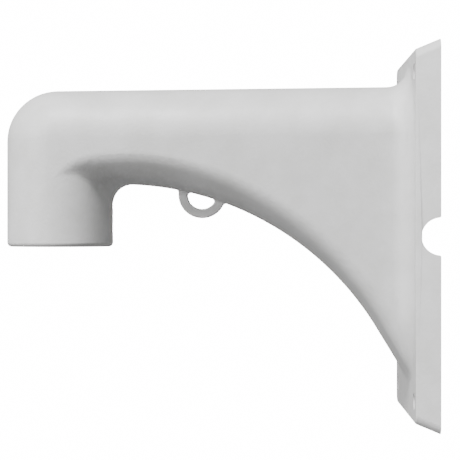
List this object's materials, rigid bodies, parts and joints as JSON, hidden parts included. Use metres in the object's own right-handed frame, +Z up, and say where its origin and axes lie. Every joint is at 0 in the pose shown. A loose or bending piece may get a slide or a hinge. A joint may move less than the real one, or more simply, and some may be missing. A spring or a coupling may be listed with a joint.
{
  "type": "camera wall bracket",
  "caption": "Cast wall bracket with a hollow arm that ends in a threaded vertical pipe for a hanging dome camera, with a rope ring and a cable notch.",
  "frame": {"origin": "centre of the four fixing holes, on the plane of the wall", "axes": "+Z up, +Y into the wall, the arm reaches out along -Y, the cable notch is on the +X side"},
  "size_m": [0.124, 0.24, 0.211],
  "materials": {
    "powder_coat": "satin pale grey powder coat on die-cast aluminium"
  },
  "bodies": {
    "root": {"wall_bracket": "powder_coat"}
  },
  "joints": []
}
